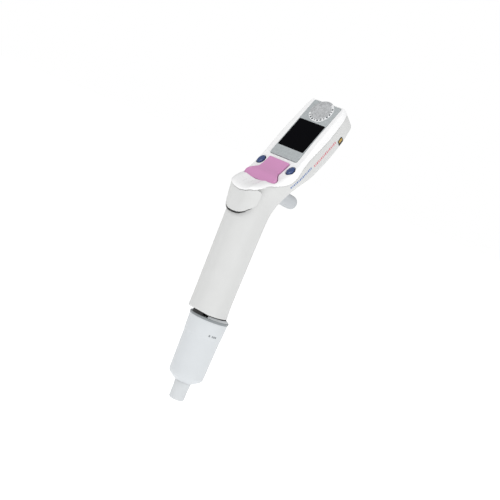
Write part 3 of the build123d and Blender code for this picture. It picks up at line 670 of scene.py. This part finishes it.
# start, end, height, lengths that repeat, gap
BLUE_ROW = ((8.4, 197.6), (21.2, 219.0), 1.9, (1.3, 0.8, 1.1, 0.9), 0.7)
RED_ROW = ((24.0, 221.4), (38.7, 246.5), 2.2, (1.0, 0.7, 1.2), 0.9)
mark_blue = plastic("mark_blue", (0.12, 0.20, 0.42), 0.45)
mark_red = plastic("mark_red", (0.62, 0.16, 0.20), 0.45)
show(joined("blue_marks", side_row(*BLUE_ROW)), "side_marks_blue", "body", "key_navy", finish=mark_blue)
show(joined("red_marks", side_row(*RED_ROW)), "side_marks_red", "body", "rocker_violet", finish=mark_red)

# ---- ejector sleeve with its marks, tip cone, spring and ring ---------------------------
SLEEVE_FOOT = 16.5
SLEEVE_HOLE = 7.5           # radius of the hole that the tip cone runs through
SLEEVE_STEP = 58.0          # the sleeve widens by a small step here
SLEEVE_TOP = 72.4
SLEEVE_ROUNDING = 0.35
sleeve_profile = rounded([
    (SLEEVE_HOLE, SLEEVE_FOOT), (8.4, SLEEVE_FOOT), (13.6, 20.2), (14.7, 21.8), (15.0, 23.5),
    (15.85, SLEEVE_STEP), (16.1, SLEEVE_STEP + 0.3), (16.7, SLEEVE_TOP), (15.3, SLEEVE_TOP),
    (14.3, SLEEVE_STEP), (13.5, 24.2), (SLEEVE_HOLE, 18.6),
], SLEEVE_ROUNDING)
show(lathe("sleeve", sleeve_profile), "sleeve_finished", "ejector", "sleeve_grey", ["ejector_sleeve"])

CONE_BORE = 3.0             # radius of the air channel
FILTER_SEAT = 4.2           # the wider mouth for the filter ends here
FILTER_BORE = 4.5
CONE_RADIUS = 6.6
FLANGE_RADIUS = 10.4
FLANGE_FOOT = 26.0
FLANGE_TOP = 29.0
SPIGOT_RADIUS = 6.4
CONE_TOP = 34.6
CONE_ROUNDING = 0.3
cone_profile = rounded([
    (CONE_BORE, FILTER_SEAT), (FILTER_BORE, FILTER_SEAT), (FILTER_BORE, 0.0), (5.7, 0.0),
    (CONE_RADIUS, 1.2), (CONE_RADIUS, 9.0), (6.95, 15.0), (7.0, FLANGE_FOOT),
    (FLANGE_RADIUS, FLANGE_FOOT), (FLANGE_RADIUS, FLANGE_TOP), (SPIGOT_RADIUS, FLANGE_TOP),
    (SPIGOT_RADIUS, CONE_TOP), (CONE_BORE, CONE_TOP),
], CONE_ROUNDING)
show(lathe("cone", cone_profile), "tip_cone_finished", "body", "cone_grey", ["tip_cone"])

SPRING_RADIUS = 12.2
SPRING_WIRE = 0.5
SPRING_SEAT = 34.0
SPRING_TURNS = 7
TURN_STEPS = 32
WIRE_STEPS = 12


def spring_mesh():
    """Coil spring between its seat and the ejector ring."""
    low = SPRING_SEAT + SPRING_WIRE
    high = SLEEVE_TOP - SPRING_WIRE
    steps = TURN_STEPS * SPRING_TURNS
    slope = (high - low) / (2 * pi * SPRING_RADIUS * SPRING_TURNS)
    turns = [2 * pi * i / WIRE_STEPS for i in range(WIRE_STEPS)]
    loops = []
    for k in range(steps + 1):
        angle = 2 * pi * SPRING_TURNS * k / steps
        outwards = Vector((cos(angle), sin(angle), 0))
        tangent = Vector((-sin(angle), cos(angle), slope)).normalized()
        side = tangent.cross(outwards)
        centre = outwards * SPRING_RADIUS + Vector((0, 0, low + (high - low) * k / steps))
        loops.append([centre + (outwards * cos(a) + side * sin(a)) * SPRING_WIRE for a in turns])
    return skin("spring", loops)


spring = show(spring_mesh(), "ejector_spring_coil", "body", "spring_steel", ["ejector_spring"])
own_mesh(spring)

SLEEVE_MARK_Z = 61.2
SLEEVE_MARK_RADIUS = 16.2
SLEEVE_MARK_HEIGHT = 1.7
SLEEVE_MARKS = ((62, 1.3), (72, 1.0), (78, 1.4), (84, 1.2))     # degrees from -Y towards +X, length
groups = []
for degrees, length in SLEEVE_MARKS:
    turn = radians(degrees)
    outwards = Vector((sin(turn), -cos(turn), 0))
    centre = outwards * SLEEVE_MARK_RADIUS + Vector((0, 0, SLEEVE_MARK_Z))
    around = Vector((cos(turn), sin(turn), 0))
    groups.append(tile(centre, around, Vector((0, 0, 1)), length, SLEEVE_MARK_HEIGHT))
show(joined("sleeve_marks", groups), "sleeve_marks", "ejector", "inner_plastic",
     finish=plastic("mark_sleeve", (0.22, 0.24, 0.25), 0.5))

RING_VOXEL = 0.22
RING_PASSES = 3
RING_PAINTED_LIGHT_FROM = 74.55           # the ring's shoulder is pale from here up, a painted highlight where it faces the light
RING_PAINTED_SHADE_FROM = 76.1           # and black from here up, painted shade where the handle shades it
ring_mesh = softened("ejector_ring", RING_VOXEL, RING_PASSES)
ring = show(ring_mesh, "ring_finished", "ejector", "ring_grey", ["ejector_ring"])
ring.data.materials.append(materials["cone_grey"])
ring.data.materials.append(materials["recess_black"])
# the pale band and the black band on the ring's shoulder are painted light and painted shade, not the
# ring's own colours
for face in ring.data.polygons:
    if face.center.z > RING_PAINTED_SHADE_FROM * MM:
        face.material_index = 2
    elif face.center.z > RING_PAINTED_LIGHT_FROM * MM:
        face.material_index = 1


# ---- floor and light --------------------------------------------------------------
def area_light(name, place, target, size, power):
    """Square white light that faces target."""
    data = bpy.data.lights.new(name, "AREA")
    data.shape = "SQUARE"
    data.size = size
    data.energy = power
    light = bpy.data.objects.new(name, data)
    scene.collection.objects.link(light)
    light.location = place
    light.rotation_euler = (Vector(target) - Vector(place)).to_track_quat("-Z", "Y").to_euler()


FLOOR_SIZE = 60.0
FLOOR_DROP = 0.004          # gap between the tip cone and the floor
FLOOR_GLOW = 0.5            # makes the floor as white as the backdrop, so that its edge doesn't show
floor_mesh = bpy.data.meshes.new("floor")
floor_half = FLOOR_SIZE / 2
floor_z = CAD_BOX[0][2] - FLOOR_DROP
floor_corners = [
    (sx * floor_half, sy * floor_half, floor_z) for sx, sy in ((-1, -1), (1, -1), (1, 1), (-1, 1))
]
floor_mesh.from_pydata(floor_corners, [], [(0, 1, 2, 3)])
floor = bpy.data.objects.new("floor", floor_mesh)
scene.collection.objects.link(floor)
paper = plastic("floor_paper", (0.93, 0.93, 0.93), 0.8)
paper_shader = paper.node_tree.nodes["Principled BSDF"]
paper_shader.inputs["Emission Color"].default_value = (1, 1, 1, 1)
paper_shader.inputs["Emission Strength"].default_value = FLOOR_GLOW
floor.data.materials.append(paper)
floor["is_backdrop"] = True

WORLD_LIGHT = 0.58          # the studio's walls as light on the object; to the camera they are white
world = bpy.data.worlds.new("studio")
scene.world = world
world.use_nodes = True
tree = world.node_tree
seen = tree.nodes["Background"]
seen.inputs["Color"].default_value = (1, 1, 1, 1)
seen.inputs["Strength"].default_value = 1.0
lighting = tree.nodes.new("ShaderNodeBackground")
lighting.inputs["Color"].default_value = (1, 1, 1, 1)
lighting.inputs["Strength"].default_value = WORLD_LIGHT
rays = tree.nodes.new("ShaderNodeLightPath")
choice = tree.nodes.new("ShaderNodeMixShader")
tree.links.new(rays.outputs["Is Camera Ray"], choice.inputs[0])
tree.links.new(lighting.outputs["Background"], choice.inputs[1])
tree.links.new(seen.outputs["Background"], choice.inputs[2])
tree.links.new(choice.outputs["Shader"], tree.nodes["World Output"].inputs["Surface"])
scene.view_settings.view_transform = "Standard"
MIDDLE = (0.0, 0.0, 0.14)   # the lights face the middle of the object
area_light("key", (-0.25, -1.5, 1.5), MIDDLE, size=0.9, power=8.8)
area_light("side", (1.5, -0.2, 0.7), MIDDLE, size=1.0, power=7.0)

size = {"cad_box": CAD_BOX, "visual_box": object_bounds()}
